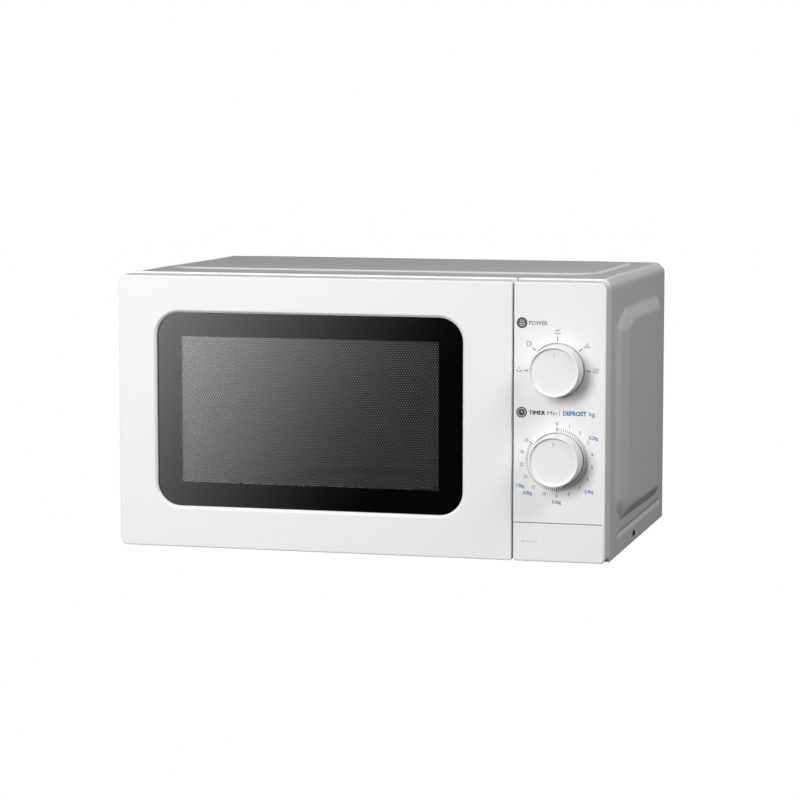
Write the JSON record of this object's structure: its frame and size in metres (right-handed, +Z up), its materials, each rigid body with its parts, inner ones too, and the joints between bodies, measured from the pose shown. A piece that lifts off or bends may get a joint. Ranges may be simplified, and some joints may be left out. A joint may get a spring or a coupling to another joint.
{
  "type": "microwave oven",
  "caption": "Countertop microwave oven with a side-hinged window door, two rotary controls, a push-to-open button and a glass turntable in a painted steel cabinet.",
  "frame": {"origin": "centre of the bounding box in X and Y, on the plane the feet rest on", "axes": "+X to the right seen from the front, +Y to the back, +Z up"},
  "size_m": [0.4476, 0.333, 0.258],
  "materials": {
    "white_plastic": "satin white moulded plastic",
    "cabinet_paint": "light grey textured paint",
    "cavity_paint": "light grey easy-clean paint",
    "zinc_steel": "zinc-plated sheet",
    "dark_glass": "black printed glass",
    "clear_film": "clear sheet",
    "black_screen": "black painted perforated sheet",
    "dark_plastic": "matte",
    "grey_plastic": "matte",
    "cream_plastic": "matte",
    "red_plastic": "matte",
    "rubber": "matte",
    "aluminium": "mill finish",
    "clear_glass": "clear toughened glass",
    "mica": "pressed mica sheet",
    "laminations": "varnished steel laminations and windings",
    "board": "circuit board with parts",
    "lamp": "lamp and holder"
  },
  "bodies": {
    "cabinet": {"cabinet_cover": "cabinet_paint", "base_plate": "zinc_steel", "rear_panel": "zinc_steel", "front_plate": "cavity_paint", "cavity_liner": "cavity_paint", "cord_bushing": "dark_plastic", "upper_hinge": "zinc_steel", "lower_hinge": "zinc_steel", "side_screw_right": "zinc_steel", "side_screw_left": "zinc_steel", "control_panel": "white_plastic", "timer_unit": "grey_plastic", "timer_bell": "zinc_steel", "power_selector": "grey_plastic", "interlock_bracket": "cream_plastic", "lower_switch": "dark_plastic", "upper_switch": "dark_plastic", "monitor_switch": "red_plastic", "magnetron": "aluminium", "waveguide": "zinc_steel", "waveguide_cover": "mica", "hv_transformer": "laminations", "hv_capacitor": "aluminium", "capacitor_clamp": "zinc_steel", "hv_diode": "dark_plastic", "fan_motor": "zinc_steel", "fan_shroud": "dark_plastic", "oven_lamp": "lamp", "magnetron_cutout": "dark_plastic", "cavity_cutout": "dark_plastic", "filter_board": "board", "turntable_motor": "zinc_steel", "foot_1": "rubber", "rear_screw_1": "zinc_steel", "foot_2": "rubber", "rear_screw_2": "zinc_steel", "foot_3": "rubber", "rear_screw_3": "zinc_steel", "foot_4": "rubber", "rear_screw_4": "zinc_steel"},
    "door": {"door_frame": "white_plastic", "door_glass": "dark_glass", "door_screen": "black_screen", "door_film": "clear_film", "choke_cover": "grey_plastic", "latch_spring": "zinc_steel"},
    "latch": {"latch_hook": "cream_plastic"},
    "button": {"door_button": "white_plastic"},
    "release_lever": {"release_lever": "cream_plastic"},
    "power_knob": {"power_knob": "white_plastic"},
    "timer_knob": {"timer_knob": "white_plastic"},
    "turntable": {"turntable_coupler": "cream_plastic", "glass_tray": "clear_glass"},
    "roller_ring": {"roller_ring": "cream_plastic"},
    "roller_1": {"roller_1": "cream_plastic"},
    "roller_2": {"roller_2": "cream_plastic"},
    "roller_3": {"roller_3": "cream_plastic"},
    "fan": {"fan_blade": "cream_plastic"}
  },
  "joints": [
    {"name": "door_hinge", "type": "hinge", "parent": "cabinet", "child": "door", "pos_m": [-0.2135, -0.1355, 0.136], "axis": [0, 0, -1], "range_deg": [0, 105]},
    {"name": "door_button_press", "type": "slide", "parent": "cabinet", "child": "button", "axis": [0, 1, 0], "range_m": [0, 0.005]},
    {"name": "release_lever_turn", "type": "hinge", "parent": "cabinet", "child": "release_lever", "pos_m": [0.134, -0.119, 0.056], "axis": [1, 0, 0], "range_deg": [0, 17.76]},
    {"name": "latch_lift", "type": "slide", "parent": "door", "child": "latch", "axis": [0, 0, 1], "range_m": [0, 0.004], "deforming": ["latch_spring"]},
    {"name": "power_knob_turn", "type": "hinge", "parent": "cabinet", "child": "power_knob", "pos_m": [0.1776, -0.1575, 0.1802], "axis": [0, 1, 0], "range_deg": [-90, 90]},
    {"name": "timer_knob_turn", "type": "hinge", "parent": "cabinet", "child": "timer_knob", "pos_m": [0.1776, -0.1575, 0.1029], "axis": [0, 1, 0], "range_deg": [0, 302]},
    {"name": "turntable_spin", "type": "hinge", "parent": "cabinet", "child": "turntable", "pos_m": [-0.0455, 0.0121, 0.05], "axis": [0, 0, 1], "continuous": true},
    {"name": "roller_ring_spin", "type": "hinge", "parent": "cabinet", "child": "roller_ring", "pos_m": [-0.0455, 0.0121, 0.04395], "axis": [0, 0, 1], "continuous": true},
    {"name": "fan_spin", "type": "hinge", "parent": "cabinet", "child": "fan", "pos_m": [0.164, 0.0805, 0.182], "axis": [0, 1, 0], "continuous": true},
    {"name": "roller_1_spin", "type": "hinge", "parent": "roller_ring", "child": "roller_1", "pos_m": [0.047, 0.0121, 0.04395], "axis": [1, 0, 0], "continuous": true},
    {"name": "roller_2_spin", "type": "hinge", "parent": "roller_ring", "child": "roller_2", "pos_m": [-0.09175, 0.09221, 0.04395], "axis": [-0.5, 0.866, 0], "continuous": true},
    {"name": "roller_3_spin", "type": "hinge", "parent": "roller_ring", "child": "roller_3", "pos_m": [-0.09175, -0.06801, 0.04395], "axis": [-0.5, -0.866, 0], "continuous": true}
  ],
  "couplings": [
    {"joint": "release_lever_turn", "follows": "door_button_press", "rad_per_m": 62},
    {"joint": "latch_lift", "follows": "door_button_press", "ratio": 0.8},
    {"joint": "roller_ring_spin", "follows": "turntable_spin", "ratio": 0.5},
    {"joint": "roller_1_spin", "follows": "turntable_spin", "ratio": -6.4236},
    {"joint": "roller_2_spin", "follows": "turntable_spin", "ratio": -6.4236},
    {"joint": "roller_3_spin", "follows": "turntable_spin", "ratio": -6.4236}
  ]
}
